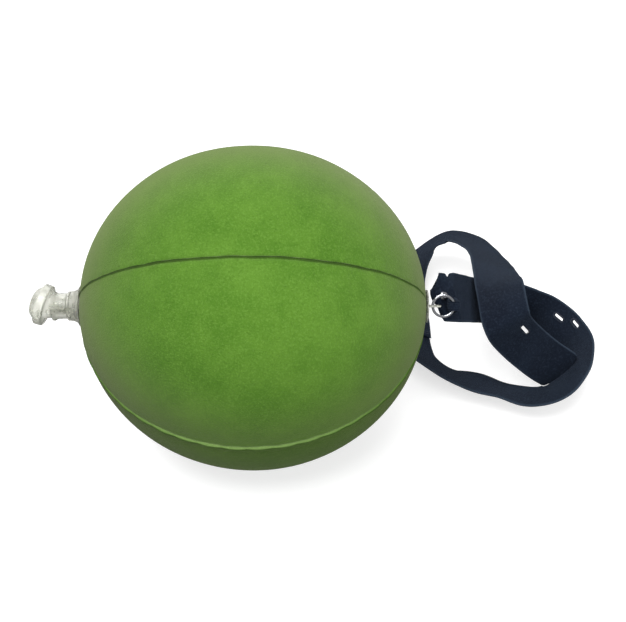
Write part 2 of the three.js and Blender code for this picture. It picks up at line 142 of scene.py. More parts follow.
# The free end narrows to 17 mm. It is cut on a slant and bulges.
STRAP_END_SLANT = 4 * MM
STRAP_END_WIDTH = math.hypot(17 * MM, STRAP_END_SLANT)
STRAP_END_BULGE = 3.2 * MM
STRAP_END_REACH = 14 * MM
STRAP_END_CORNER = 3 * MM
RIB_DEPTH = 0.06 * MM
RIB_SPACING = 1.05 * MM
SLOT_LENGTH = 6 * MM
SLOT_WIDTH = 1.8 * MM
# The free length's slot is pulled longer and its ends slope.
SLOT_LEAN = -0.9
SLOT_STRETCH = 3 * MM
STUD_HOLE = 2.4 * MM
HOLE_SPREAD = 5 * MM
THREAD_RADIUS = 0.17 * MM
STITCH_LENGTH = 1.7 * MM
STITCH_SPACING = 2.2 * MM
STITCH_REACH = 0.44 * STRAP_WIDTH
# The join's rows of stitches, by their distance from its end in millimetres.
JOIN_ROWS = (2.2, 4.0, 11.0, 12.8)
# The uneven cut behind the ring: places across the strap from -1 to 1, and the millimetres cut
# off there, or added when negative.
CUT_PLACES = (-1, -0.3, 0, 0.15, 0.4, 1)
CUT_AWAY = (6.0, -1.0, -3.0, -3.4, -0.6, 0.2)
CUT_REACH = 15 * MM
NICK_PLACE = 5.3 * MM
NICK_DEPTH = 2.0 * MM
DROOP = 1.3 * MM

CAMERA_ELEVATION = math.radians(38.6)
CAMERA_DISTANCE = 0.52
CAMERA_AIM = Vector((BALL_CENTRE_X + 0.0289, -0.0015, -0.0019))
CAMERA_LENS = 61.0


# ---- mesh helpers ----

def new_piece(name, points, faces, material):
    """A smooth-shaded mesh object with its faces turned outwards and its hard corners kept sharp."""
    mesh = bpy.data.meshes.new(name)
    mesh.from_pydata([tuple(point) for point in points], [], faces)
    work = bmesh.new()
    work.from_mesh(mesh)
    bmesh.ops.remove_doubles(work, verts=work.verts, dist=1e-7)
    bmesh.ops.recalc_face_normals(work, faces=work.faces)
    work.to_mesh(mesh)
    work.free()
    mesh.shade_smooth()
    mesh.set_sharp_from_angle(angle=math.radians(50))
    mesh.materials.append(material)
    piece = bpy.data.objects.new(name, mesh)
    bpy.context.scene.collection.objects.link(piece)
    return piece


def ring_faces(ring_count, ring_size, joined):
    """Quads between neighbouring rings of points, joined end to end or else with capped ends."""
    faces = []
    for ring in range(ring_count if joined else ring_count - 1):
        here = ring * ring_size
        there = (ring + 1) % ring_count * ring_size
        for point in range(ring_size):
            after = (point + 1) % ring_size
            faces.append((here + point, here + after, there + after, there + point))
    if not joined:
        last = (ring_count - 1) * ring_size
        faces += [tuple(range(ring_size)), tuple(range(last, last + ring_size))]
    return faces


def loft(name, rings, material, joined=False):
    """A closed skin through rings of points. Ends that aren't joined are capped."""
    points = [point for ring in rings for point in ring]
    return new_piece(name, points, ring_faces(len(rings), len(rings[0]), joined), material)


def rounded(corners, steps=5):
    """Outline through (x, y, radius) corners, each rounded over its own reach."""
    outline = []
    count = len(corners)
    for index, (x, y, radius) in enumerate(corners):
        corner = Vector((x, y))
        if radius == 0:
            outline.append(corner)
            continue
        before = Vector(corners[index - 1][:2]) - corner
        after = Vector(corners[(index + 1) % count][:2]) - corner
        reach = min(radius, before.length * 0.49, after.length * 0.49)
        start = corner + before.normalized() * reach
        end = corner + after.normalized() * reach
        for step in range(steps + 1):
            t = step / steps
            outline.append(start * (1 - t) ** 2 + corner * 2 * t * (1 - t) + end * t ** 2)
    return outline


def turned(name, corners, material, place=Matrix.Identity(4), segments=96):
    """Turns a rounded outline about a place's X axis. It may start and end on the axis."""
    outline = rounded(corners)
    rings = []
    for segment in range(segments):
        angle = 2 * math.pi * segment / segments
        side = Vector((0, math.cos(angle), math.sin(angle)))
        rings.append([place @ (Vector((x, 0, 0)) + side * radius) for x, radius in outline])
    size = len(outline)
    faces = ring_faces(segments, size, True)
    if outline[0][1] == 0:
        faces = [face for face in faces if abs(face[0] - face[1]) == 1]
    return new_piece(name, [point for ring in rings for point in ring], faces, material)


def set_attribute(piece, name, values):
    """Stores one number per vertex for the piece's material to read."""
    attribute = piece.data.attributes.new(name, "FLOAT", "POINT")
    attribute.data.foreach_set("value", np.asarray(values, np.float32))


def oval_section(width, height, points, squareness):
    """Closed outline between an ellipse (2) and a rectangle (higher) of the given size."""
    outline = []
    for index in range(points):
        angle = 2 * math.pi * index / points
        c, s = math.cos(angle), math.sin(angle)
        a = math.copysign(abs(c) ** (2 / squareness), c) * width / 2
        b = math.copysign(abs(s) ** (2 / squareness), s) * height / 2
        outline.append((a, b))
    return outline


def slab(name, outline, thickness, bevel, place, material):
    """Flat plate with eased edges through a closed 2-D outline, in the place's XY plane."""
    middle = sum((Vector(point) for point in outline), Vector((0, 0))) / len(outline)
    rings = []
    for height, inset in ((-thickness / 2, bevel), (-thickness / 2 + bevel, 0),
                          (thickness / 2 - bevel, 0), (thickness / 2, bevel)):
        ring = []
        for point in outline:
            arm = Vector(point) - middle
            x, y = middle + arm * (1 - inset / arm.length)
            ring.append(place @ Vector((x, y, height)))
        rings.append(ring)
    return loft(name, rings, material)


def holed_slab(name, outline, hole, hole_radius, thickness, bevel, place, material):
    """Flat plate with eased edges and one round hole."""
    rings = []
    half = thickness / 2
    for point in outline:
        arm = Vector(point) - Vector(hole)
        toward = arm.normalized()
        profile = ((arm.length - bevel, -half), (arm.length, -half + bevel),
                   (arm.length, half - bevel), (arm.length - bevel, half),
                   (hole_radius + bevel, half), (hole_radius, half - bevel),
                   (hole_radius, -half + bevel), (hole_radius + bevel, -half))
        ring = []
        for reach, height in profile:
            x, y = Vector(hole) + toward * reach
            ring.append(place @ Vector((x, y, height)))
        rings.append(ring)
    return loft(name, rings, material, joined=True)


def densified(outline, spacing):
    """Adds points on an outline's long straight runs."""
    points = []
    for index, point in enumerate(outline):
        here = Vector(point)
        there = Vector(outline[(index + 1) % len(outline)])
        steps = max(1, round((there - here).length / spacing))
        points += [here.lerp(there, step / steps) for step in range(steps)]
    return points


def combined(target, tool, operation):
    """Joins a tool piece to a target or cuts it out, then removes the tool."""
    change = target.modifiers.new(operation.lower(), "BOOLEAN")
    change.operation = operation
    change.solver = "EXACT"
    change.object = tool
    bpy.context.view_layer.update()
    solved = target.evaluated_get(bpy.context.evaluated_depsgraph_get())
    mesh = bpy.data.meshes.new_from_object(solved)
    target.modifiers.clear()
    target.data = mesh
    bpy.data.objects.remove(tool)
    return target


def placed(origin, *axes):
    """Place at an origin, from its X, Y and Z axes."""
    return Matrix.Translation(origin) @ Matrix(axes).transposed().to_4x4()


def vertices_of(piece):
    return np.array([vertex.co for vertex in piece.data.vertices])


def frame_vertices(node):
    return vertices_of(frame["nodes"][node])


def smooth_step(value):
    t = np.clip(value, 0, 1)
    return t * t * (3 - 2 * t)


def finish_piece(piece, body, slot, *nodes):
    """Puts a piece on its body, standing for the CAD nodes it shows. Its slot is not used."""
    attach(piece, body)
    if nodes:
        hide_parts(*nodes)


def finish_bending_piece(piece, node):
    """Bakes a clear piece's placing into its mesh, standing for a CAD node."""
    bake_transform(piece)
    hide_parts(node)


# ---- material helpers ----

class Shader:
    """A new node material with short ways to add nodes and link them."""

    def __init__(self, name):
        self.material = bpy.data.materials.new(name)
        self.material.use_nodes = True
        self.tree = self.material.node_tree
        self.surface = self.tree.nodes["Principled BSDF"]

    def add(self, kind, values=(), **settings):
        """Adds a node with its settings, and feeds its inputs from (socket, value) pairs."""
        node = self.tree.nodes.new(kind)
        for key, value in settings.items():
            setattr(node, key, value)
        for socket, value in values:
            self.feed(node.inputs[socket], value)
        return node

    def feed(self, socket, value):
        """Gives a socket a number, a colour or the output of another node."""
        if isinstance(value, bpy.types.NodeSocket):
            self.tree.links.new(value, socket)
        elif isinstance(value, tuple) and len(value) == 3 and socket.type == "RGBA":
            socket.default_value = (*value, 1)
        else:
            socket.default_value = value

    def noise(self, scale, detail, roughness):
        place = self.add("ShaderNodeTexCoord").outputs["Object"]
        values = (("Vector", place), ("Scale", scale), ("Detail", detail), ("Roughness", roughness))
        return self.add("ShaderNodeTexNoise", values).outputs["Fac"]

    def math(self, operation, first, second=0.0):
        values = ((0, first), (1, second))
        return self.add("ShaderNodeMath", values, operation=operation).outputs[0]

    def remap(self, value, low, high, to_low=0.0, to_high=1.0):
        values = (("Value", value), ("From Min", low), ("From Max", high),
                  ("To Min", to_low), ("To Max", to_high))
        node = self.add("ShaderNodeMapRange", values, interpolation_type="SMOOTHSTEP")
        return node.outputs["Result"]

    def mix(self, share, first, second):
        # Inputs 6 and 7 and output 2 are a mix node's colours.
        values = (("Factor", share), (6, first), (7, second))
        return self.add("ShaderNodeMix", values, data_type="RGBA").outputs[2]

    def attribute(self, name):
        return self.add("ShaderNodeAttribute", attribute_name=name).outputs["Fac"]

    def bump(self, height, distance, strength, normal=None):
        values = [("Height", height), ("Distance", distance), ("Strength", strength)]
        if normal is not None:
            values.append(("Normal", normal))
        return self.add("ShaderNodeBump", values).outputs["Normal"]

    def set(self, **inputs):
        """Sets inputs of the main surface. An underscore stands for a space."""
        for key, value in inputs.items():
            self.feed(self.surface.inputs[key.replace("_", " ")], value)


# ---- materials ----

def flock_material():
    """Short nap on soft sheet: faintly mottled, with a painted grey sheen at the rim, painted highlights and
    painted crease shade along the seams, and painted shade underneath.
    """
    shader = Shader("flock")
    broad = shader.noise(22, 3, 0.6)
    patch = shader.noise(75, 4, 0.65)
    nap = shader.noise(1100, 2, 0.8)
    pits = shader.noise(1000, 2, 0.7)
    tone = shader.math("MULTIPLY", shader.math("ADD", broad, patch), 0.5)
    base = shader.mix(shader.remap(tone, 0.34, 0.66), (0.046, 0.120, 0.010), (0.070, 0.158, 0.017))
    speckled = shader.mix(shader.remap(nap, 0.45, 0.7, 0.0, 0.4), base, (0.12, 0.235, 0.04))
    pitted = shader.mix(shader.remap(pits, 0.5, 0.75, 0.0, 0.35), speckled, (0.024, 0.062, 0.004))
    normal = shader.add("ShaderNodeNewGeometry").outputs["Normal"]
    upward = shader.add("ShaderNodeSeparateXYZ", [(0, normal)]).outputs["Z"]
    # Painted sheen: the rim is greyed as if lit at grazing angles, less on faces turned down.
    rim = shader.remap(shader.add("ShaderNodeLayerWeight").outputs["Facing"], 0.15, 1.0, 0.0, 0.65)
    rim = shader.math("MULTIPLY", rim, shader.remap(upward, -0.6, 0.0, 0.25, 1.0))
    haze = shader.mix(rim, pitted, (0.135, 0.170, 0.060))
    # Painted highlight: a pale band along the seams.
    painted_highlight = shader.mix(shader.attribute("pale"), haze, (0.25, 0.36, 0.13))
    seam = shader.attribute("seam_distance")
    # Painted shade: the gores underneath are darkened.
    shaded = shader.mix(shader.attribute("shade"), painted_highlight, (0.006, 0.014, 0.0))
    # Painted shade: a dark line in each seam's crease, wider where the surface faces down.
    down = shader.remap(upward, -0.4, 0.3, 1.0, 0.0)
    side = shader.math("MULTIPLY", shader.remap(seam, 0.4, 0.75, 0.4, 0.0), down)
    edge = shader.math("MAXIMUM", shader.remap(seam, 0.12, 0.3, 0.7, 0.0), side)
    colour = shader.mix(edge, shaded, (0.010, 0.034, 0.0))
    shader.set(Base_Color=colour, Roughness=0.95, Specular_IOR_Level=0.08)
    shader.set(Sheen_Weight=0.14, Sheen_Roughness=0.5, Sheen_Tint=(0.8, 0.85, 0.6))
    fine = shader.bump(shader.noise(1400, 2, 0.6), 0.0005, 0.8)
    shader.set(Normal=shader.bump(shader.noise(240, 3, 0.6), 0.0005, 0.3, fine))
    return shader.material


def clear_material():
    """Soft clear plastic with a milky grey body and moulding ripples."""
    shader = Shader("clear_pvc")
    haze = shader.noise(180, 3, 0.6)
    colour = shader.mix(shader.remap(haze, 0.35, 0.65), (0.54, 0.55, 0.48), (0.76, 0.76, 0.70))
    shader.set(Base_Color=colour, Roughness=shader.remap(haze, 0.3, 0.7, 0.22, 0.38), IOR=1.45)
    shader.set(Transmission_Weight=0.72, Specular_IOR_Level=0.6)
    shader.set(Normal=shader.bump(shader.noise(420, 2, 0.5), 0.0005, 0.35))
    return shader.material


def chrome_material():
    """Bright plating with fine rub marks."""
    shader = Shader("chrome")
    rubbed = shader.noise(1500, 4, 0.7)
    colour = shader.mix(rubbed, (0.30, 0.31, 0.33), (0.52, 0.53, 0.56))
    shader.set(Base_Color=colour, Metallic=1.0, Roughness=shader.remap(rubbed, 0.3, 0.7, 0.1, 0.26))
    shader.set(Normal=shader.bump(rubbed, 0.0001, 0.2))
    return shader.material


def strap_material():
    """Blue-black ribbed elastic webbing: fine cross threads between long ribs, and a painted highlight along its
    edges.
    """
    shader = Shader("strap_fabric")
    along = shader.attribute("along_mm")
    across = shader.attribute("across_mm")
    threads = shader.math("SINE", shader.math("MULTIPLY", along, 2 * math.pi / 0.55))
    wales = shader.math("SINE", shader.math("MULTIPLY", across, 2 * math.pi / 0.7))
    weave = shader.math("MULTIPLY", threads, wales)
    lint = shader.noise(900, 2, 0.8)
    broad = shader.noise(45, 3, 0.6)
    base = shader.mix(shader.remap(broad, 0.35, 0.65), (0.004, 0.0066, 0.0135), (0.0068, 0.011, 0.021))
    flecked = shader.mix(shader.remap(lint, 0.45, 0.72, 0.0, 0.6), base, (0.021, 0.031, 0.049))
    woven = shader.mix(shader.remap(weave, -1, 1, 0.0, 0.45), flecked, (0.0015, 0.0025, 0.006))
    # Painted highlight along the strap's edges.
    edge = shader.math("MULTIPLY", shader.attribute("edge"), 0.5)
    painted_highlight = shader.mix(edge, woven, (0.034, 0.050, 0.072))
    shader.set(Base_Color=painted_highlight, Roughness=0.9, Specular_IOR_Level=0.12)
    shader.set(Sheen_Weight=0.06, Sheen_Roughness=0.5, Sheen_Tint=(0.4, 0.55, 0.8))
    fine = shader.bump(weave, 0.00018, 0.7)
    shader.set(Normal=shader.bump(lint, 0.0002, 0.5, fine))
    return shader.material


def thread_material():
    """Sewing thread a shade lighter than the strap, with a twist along it."""
    shader = Shader("thread")
    twist = shader.noise(2600, 1, 0.5)
    colour = shader.mix(twist, (0.010, 0.013, 0.022), (0.040, 0.050, 0.072))
    shader.set(Base_Color=colour, Roughness=0.6, Specular_IOR_Level=0.4)
    shader.set(Normal=shader.bump(twist, 0.0002, 0.6))
    return shader.material


def floor_material():
    """Plain white floor that glows where it is seen, even through plastic, and bounces little."""
    shader = Shader("floor")
    tone = shader.noise(3, 2, 0.5)
    path = shader.add("ShaderNodeLightPath")
    seen = shader.math("MAXIMUM", path.outputs["Is Camera Ray"], path.outputs["Is Transmission Ray"])
    pale = shader.mix(tone, (0.50, 0.50, 0.50), (0.53, 0.53, 0.53))
    shader.set(Base_Color=shader.mix(seen, (0.12, 0.12, 0.12), pale), Roughness=0.9)
    shader.set(Specular_IOR_Level=0.0, Emission_Color=(1, 1, 1))
    shader.set(Emission_Strength=shader.math("MULTIPLY", seen, 0.62))
    return shader.material


FLOCK = flock_material()
CLEAR = clear_material()
CHROME = chrome_material()
FABRIC = strap_material()
THREAD = thread_material()


# ---- ball ----

def ripple(along, seed):
    """Uneven waviness between about -1 and 1, by metres along."""
    first = np.sin(along / (1.8 * MM) + 1.7 * seed)
    second = np.sin(along / (1.15 * MM) + 2.9 * seed)
    third = np.sin(along / (3.7 * MM) + 0.6 * seed)
    return (first + 0.6 * second + 0.8 * third) / 2.4


def seam_number(angle):
    """One number for a seam from either of its two gores, so that they share its waviness."""
    return round(math.degrees(angle)) % 360 / 30


def gore_surface(centre_angle):
    """Outer points of one gore and each point's distance from its nearer seam, in metres."""
    first = math.asin(DISC_RADIUS * (1 + SEAM_SAG) / BALL_RADIUS)
    polar = np.linspace(first, math.pi - first, GORE_ROWS + 1)[:, None]
    side = np.linspace(-1, 1, GORE_COLUMNS + 1)[None, :]
    spread = np.sign(side) * (1 - (1 - np.abs(side)) ** GORE_CROWDING)
    radius = BALL_RADIUS * np.sin(polar)
    along = BALL_RADIUS * polar
    seams = [seam_number(centre_angle + turn) for turn in (-HALF_GORE, HALF_GORE)]
    seam = np.where(side < 0, *seams)
    wander = SEAM_WANDER * ripple(along * 0.45, seam + 4) * np.abs(spread) ** 6
    angle = spread * (HALF_GORE - SEAM_GAP / 2 / radius) + wander / radius
    inward = np.maximum(HALF_GORE - np.abs(angle - wander / radius), 0) * radius
    swell = np.sin(polar) ** 2
    sag = SEAM_SAG * radius * (angle / HALF_GORE) ** 2
    welt = WELT_HEIGHT * swell * np.exp(-(((inward - WELT_PLACE) / WELT_WIDTH) ** 2))
    scallop = 0.7 + 0.3 * np.abs(np.sin(math.pi * along / SCALLOP_LENGTH + seam))
    taper = smooth_step((radius - radius[0]) / FIN_TAPER)
    fin = FIN_HEIGHT * taper * scallop * smooth_step(1.15 - inward / FIN_WIDTH)
    pucker = PUCKER_DEPTH * swell * ripple(along, seam) * np.exp(-inward / PUCKER_REACH)
    pucker = pucker * (1 - np.exp(-inward / PUCKER_START))
    dent = DENT_DEPTH * swell * np.sin(along / DENT_LENGTH + 3 * centre_angle)
    dent = dent * np.cos(angle * radius / DENT_WIDTH)
    depth = radius - sag + welt + fin + pucker + dent
    x = BALL_CENTRE_X - BALL_HALF_LENGTH * np.cos(polar) + 0 * side
    turn = centre_angle + angle
    points = np.stack([x, -depth * np.cos(turn), depth * np.sin(turn)], axis=-1)
    return points, inward


def gore_piece(node):
    """One welded gore: a thin closed shell between two seams that stand up as narrow fins."""
    _, y, z = frame_vertices(node).mean(axis=0)
    outer, seam_distance = gore_surface(math.atan2(z, -y))
    centre = np.array([BALL_CENTRE_X, 0, 0])
    length = np.linalg.norm(outer - centre, axis=-1, keepdims=True)
    inner = outer + (centre - outer) * SKIN / length
    rings = np.concatenate([outer, inner[::-1]]).transpose(1, 0, 2)
    piece = loft(node + "_flocked", rings, FLOCK)
    place = vertices_of(piece) - centre
    reach = np.concatenate([seam_distance, seam_distance[::-1]]).T.ravel()
    height = place[:, 2] / np.maximum(np.linalg.norm(place[:, 1:], axis=1), MM)
    toward_pole = (place[:, 0] / BALL_HALF_LENGTH) ** 2
    # The painted crease shade along a seam is wider near the poles. A painted highlight runs along a seam that
    # turns under, and the gores underneath get painted shade.
    set_attribute(piece, "seam_distance", reach / MM * (1 - 0.55 * toward_pole))
    seam_highlight = np.exp(-(((reach - FIN_WIDTH) / SEAM_HIGHLIGHT_WIDTH) ** 2))
    under = z < 0
    pale = PALE_UNDER if under else PALE_TOP + PALE_TURNING * smooth_step((0.5 - height) / 0.7)
    set_attribute(piece, "pale", seam_highlight * pale * (1 - toward_pole))
    set_attribute(piece, "shade", np.full(len(reach), SHADE_UNDER if under else 0.0))
    finish_piece(piece, "ball", "flock", node)


def pole_disc(node, hole_radius):
    """Small flocked disc over the gores' ends, domed like the ball, with a soft rim."""
    side = 1 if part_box(node)[1].x > BALL_CENTRE_X else -1
    steps = 24
    rim_width = 1.2 * MM
    rim_drop = 0.5 * MM
    thickness = 0.9 * MM
    outline = []
    for step in range(steps + 1):
        radius = hole_radius + (DISC_RADIUS - hole_radius) * step / steps
        rim = max(0.0, 1 - (DISC_RADIUS - radius) / rim_width)
        polar = math.asin(radius / BALL_RADIUS)
        sink = rim_drop * (1 - math.sqrt(1 - rim ** 2))
        x = BALL_CENTRE_X + side * (BALL_HALF_LENGTH * math.cos(polar) - sink)
        outline.append((x, radius, 0))
    back = [(x - side * thickness, radius, 0) for x, radius, _ in reversed(outline)]
    piece = turned(node + "_flocked", outline + back, FLOCK)
    reach = [math.hypot(vertex.co.y, vertex.co.z) for vertex in piece.data.vertices]
    # The flock material paints crease shade at the disc's edge.
    set_attribute(piece, "seam_distance", [(DISC_RADIUS - radius) / MM for radius in reach])
    finish_piece(piece, "ball", "flock", node)


# ---- valve ----

def valve_body():
    """Clear flange, folding web and stem."""
    flange_low, flange_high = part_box("valve_flange")
    web_low, web_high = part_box("valve_web")
    stem_low, stem_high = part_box("valve_stem")
    flange = turned("valve_flange_fine", [
        (flange_high.x, VALVE_HOLE, 0.1 * MM),
        (flange_low.x, VALVE_HOLE, 0.3 * MM),
        (flange_low.x, flange_high.z - 0.5 * MM, 0.4 * MM),
        (flange_high.x, flange_high.z, 0.1 * MM),
    ], CLEAR)
    finish_piece(flange, "ball", "clear_pvc", "valve_flange")

    middle = (web_low.x + web_high.x) / 2
    web = turned("valve_web_fine", [
        (web_high.x, web_high.z, 0.2 * MM),
        (web_high.x, web_high.z - 0.8 * MM, 0.2 * MM),
        (web_low.x, STEM_RADIUS + 0.3 * MM, 0.2 * MM),
        (web_low.x, STEM_RADIUS + 1.1 * MM, 0.2 * MM),
        (middle, STEM_RADIUS + 1.3 * MM, 1.5 * MM),
    ], CLEAR)
    finish_bending_piece(web, "valve_web")

    lip = stem_high.z
    collar = web_low.x - 1.0 * MM
    stem = turned("valve_stem_fine", [
        (stem_high.x, BORE_RADIUS, 0.3 * MM),
        (stem_low.x, BORE_RADIUS, 0.5 * MM),
        (stem_low.x, lip, 0.5 * MM),
        (stem_low.x + 1.2 * MM, lip, 0.5 * MM),
        (stem_low.x + 2.4 * MM, STEM_RADIUS, 0.8 * MM),
        (collar - 1.0 * MM, STEM_RADIUS, 0.6 * MM),
        (collar - 0.5 * MM, lip, 0.3 * MM),
        (collar + 0.5 * MM, lip, 0.3 * MM),
        (collar + 0.6 * MM, STEM_RADIUS, 0.2 * MM),
        (stem_high.x, STEM_RADIUS, 0.5 * MM),
    ], CLEAR)
    finish_piece(stem, "valve", "clear_pvc", "valve_stem")


def check_flap():
    """Round flap over the stem's inner end, with its hinge lug on top."""
    low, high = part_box("check_flap")
    radius = high.y
    lug = 1.6 * MM
    start = math.pi / 2 + math.asin(lug / radius)
    turn = 2 * math.pi - 2 * math.asin(lug / radius)
    angles = [start + turn * step / 40 for step in range(41)]
    outline = [(radius * math.cos(angle), radius * math.sin(angle)) for angle in angles]
    outline += [(lug, high.z), (-lug, high.z)]
    facing = placed(((low.x + high.x) / 2, 0, 0), (0, 1, 0), (0, 0, 1), (1, 0, 0))
    flap = slab("check_flap_fine", outline, high.x - low.x, 0.2 * MM, facing, CLEAR)
    finish_piece(flap, "flap", "clear_pvc", "check_flap")


def valve_plug():
    """Domed head, leaning as the record's plug_end mount says, on a straight shank."""
    mount = next(item for item in frame["record"]["mounts"] if item["name"] == "plug_end")
    outward = Vector(mount["axis"]).normalized()
    flat = Vector(mount["pos_m"])
    seat = flat - outward * PLUG_HEIGHT
    skirt_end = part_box("valve_stem")[0].x - seat.x - 0.1 * MM
    turn = Vector((-1, 0, 0)).rotation_difference(outward).to_matrix().to_4x4()
    head = turned("valve_plug_fine", [
        (0, 0, 0),
        (0, PLUG_RADIUS, 1.0 * MM),
        (-PLUG_RIM, PLUG_RADIUS, 1.2 * MM),
        (-PLUG_RIM, 8.6 * MM, 0.3 * MM),
        (-PLUG_RIM - 0.8 * MM, 8.2 * MM, 0.6 * MM),
        (-PLUG_HEIGHT + 0.6 * MM, 6.4 * MM, 1.8 * MM),
        (-PLUG_HEIGHT, 4.0 * MM, 1.0 * MM),
        (-PLUG_HEIGHT, 0, 0),
    ], CLEAR, Matrix.Translation(seat) @ turn)
    shank = turned("shank", [
        (-PLUG_RIM / 2, 0, 0),
        (-PLUG_RIM / 2, SKIRT_RADIUS, 0.2 * MM),
        (skirt_end, SKIRT_RADIUS, 0.3 * MM),
        (skirt_end, SHANK_RADIUS, 0.2 * MM),
        (SHANK_LENGTH - 1.5 * MM, SHANK_RADIUS, 0.6 * MM),
        (SHANK_LENGTH, SHANK_RADIUS - 0.6 * MM, 0.4 * MM),
        (SHANK_LENGTH, 0, 0),
    ], CLEAR, Matrix.Translation(seat))
    plug = combined(head, shank, "UNION")
    finish_piece(plug, "plug", "clear_pvc", "valve_plug")


def plug_tether():
    """Soft strip from the plug's head over the stem's lip, then close along the stem."""
    low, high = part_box("plug_tether")
    points = frame_vertices("plug_tether")
    middle = points.mean(axis=0)
    radial = Vector((0, middle[1], middle[2])).normalized()
    side = Vector((1, 0, 0)).cross(radial)
    close = STEM_RADIUS + 1.05 * MM
    drop = 0.95 * MM
    drop_share = 0.45
    section = [(a, b - a * a / (2 * close))
               for a, b in oval_section(TETHER_WIDTH, TETHER_THICKNESS, 20, 5)]
    steps = 24
    rings = []
    for step in range(steps + 1):
        t = step / steps
        x = low.x + TETHER_THICKNESS / 2 + (high.x - low.x - TETHER_THICKNESS) * t
        left = max(1 - t / drop_share, 0)
        rise = close + drop * float(smooth_step(left))
        slope = -drop * 6 * left * (1 - left) / drop_share / (high.x - low.x)
        up = (radial - Vector((slope, 0, 0))).normalized()
        centre = Vector((x, 0, 0)) + radial * rise
        rings.append([centre + side * a + up * b for a, b in section])
    tether = loft("plug_tether_fine", rings, CLEAR)
    finish_bending_piece(tether, "plug_tether")


# ---- anchor tab and split ring ----

RING_FOOT = Vector(JOINTS["ring_swing"]["pos_m"])
RING_TOP = Vector(JOINTS["strap_swing"]["pos_m"])
RING_CENTRE = (RING_FOOT + RING_TOP) / 2
RING_RADIUS = (RING_TOP - RING_FOOT).length / 2
OUTWARD = Vector((1, 0, 0))
THROUGH = -Vector(JOINTS["ring_swing"]["axis"]).normalized()
SIDE = THROUGH.cross(OUTWARD)
TAB_PLACE = placed((0, 0, 0), OUTWARD, SIDE, THROUGH)


def anchor_tab():
    """Clear round base welded on the pole, with a holed tab standing in a bead of plastic."""
    low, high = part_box("anchor_tab")
    base_radius = high.z
    base = turned("anchor_tab_fine", [
        (low.x, 0, 0),
        (low.x, base_radius, 0.2 * MM),
        (low.x + 0.5 * MM, base_radius, 0.3 * MM),
        (low.x + 0.9 * MM, base_radius - 1.2 * MM, 0.4 * MM),
        (low.x + 0.7 * MM, base_radius - 2.0 * MM, 0.4 * MM),
        (low.x + 0.9 * MM, 0, 0),
    ], CLEAR)
    half = TAB_WIDTH / 2
    corner = 2.5 * MM
    outline = densified(rounded([
        (low.x + 0.4 * MM, -half, 0.2 * MM),
        (high.x, -half, corner),
        (high.x, half, corner),
        (low.x + 0.4 * MM, half, 0.2 * MM),
    ], steps=8), 0.5 * MM)
    plate = holed_slab("plate", outline, (RING_FOOT.x, 0), TAB_HOLE_RADIUS, TAB_THICKNESS,
                       0.25 * MM, TAB_PLACE, CLEAR)
    tab = combined(base, plate, "UNION")
    finish_piece(tab, "ball", "clear_pvc", "anchor_tab")


def split_ring():
    """Nearly two turns of flattened wire with softened edges and chamfered ends."""
    steps = 260
    rings = []
    for step in range(steps + 1):
        share = step / steps
        angle = RING_TURNS * 2 * math.pi * (share - 0.5)
        level = RING_PITCH * RING_TURNS * (share - 0.5)
        ends = min(share, 1 - share) * steps
        slim = min(1.0, 0.55 + ends / 9)
        radial = OUTWARD * math.cos(angle) + THROUGH * math.sin(angle)
        centre = RING_CENTRE + radial * RING_RADIUS + SIDE * level
        section = oval_section(RING_WIRE_RADIAL * slim, RING_WIRE_AXIAL * slim, 14, 3)
        rings.append([centre + radial * a + SIDE * b for a, b in section])
    ring = loft("split_ring_fine", rings, CHROME)
    finish_piece(ring, "ring", "chrome", "split_ring")


# ---- strap ----

def strap_rows(node):
    """
    Centres and width directions of the CAD strap's rows, in order. A row's two ends are mesh
    edges as long as the strap's edge is thick, and they lie one strap width apart.
    """
    work = bmesh.new()
    work.from_mesh(frame["nodes"][node].data)
    bmesh.ops.remove_doubles(work, verts=work.verts, dist=1e-6)
    ends = []
    for edge in work.edges:
        if abs(edge.calc_length() - STRAP_EDGE_THICKNESS) < 0.01 * MM:
            first, second = (vertex.co.copy() for vertex in edge.verts)
            ends.append(((first + second) / 2, (first - second).normalized()))
    work.free()
    rows = []
    for index, (here, facing) in enumerate(ends):
        for there, other in ends[index + 1:]:
            arm = there - here
            misfit = min(abs(arm.length - STRAP_WIDTH), abs(arm.length - STRAP_END_WIDTH))
            in_line = abs(facing.dot(other)) > 0.9999 and abs(facing.dot(arm)) < 0.02 * MM
            if misfit < 0.02 * MM and in_line:
                rows.append(((here + there) / 2, arm))
    # An end row has both of its nearest rows on one side. The free end's row is also narrow.
    # On the other length, the order starts at the ring.
    tips = []
    for item in rows:
        near = sorted(rows, key=lambda other: (other[0] - item[0]).length)[1:3]
        if (near[0][0] - item[0]).dot(near[1][0] - item[0]) > 0:
            tips.append(item)
    row = min(tips, key=lambda item: (round(item[1].length / MM), (item[0] - RING_TOP).length))
    from_free_end = row[1].length < 0.9 * STRAP_WIDTH
    order = [row]
    rows.remove(row)
    while rows:
        row = min(rows, key=lambda item: (item[0] - order[-1][0]).length)
        order.append(row)
        rows.remove(row)
    if from_free_end:
        order.reverse()
    centres = np.array([centre for centre, _ in order])
    across = np.array([arm.normalized() for _, arm in order])
    if across[0][2] < 0:
        across[0] = -across[0]
    for index in range(1, len(across)):
        if across[index] @ across[index - 1] < 0:
            across[index] = -across[index]
    return centres, across


def smooth_through(points, places, wanted):
    """Smooth curve through points at given places, read at the wanted places."""
    slopes = np.gradient(points, places, axis=0)
    index = np.clip(np.searchsorted(places, wanted, side="right") - 1, 0, len(places) - 2)
    span = (places[index + 1] - places[index])[:, None]
    t = (wanted - places[index])[:, None] / span
    value = points[index] * (1 + 2 * t) * (1 - t) ** 2 + points[index + 1] * t ** 2 * (3 - 2 * t)
    return value + slopes[index] * span * t * (1 - t) ** 2 + slopes[index + 1] * span * t ** 2 * (t - 1)


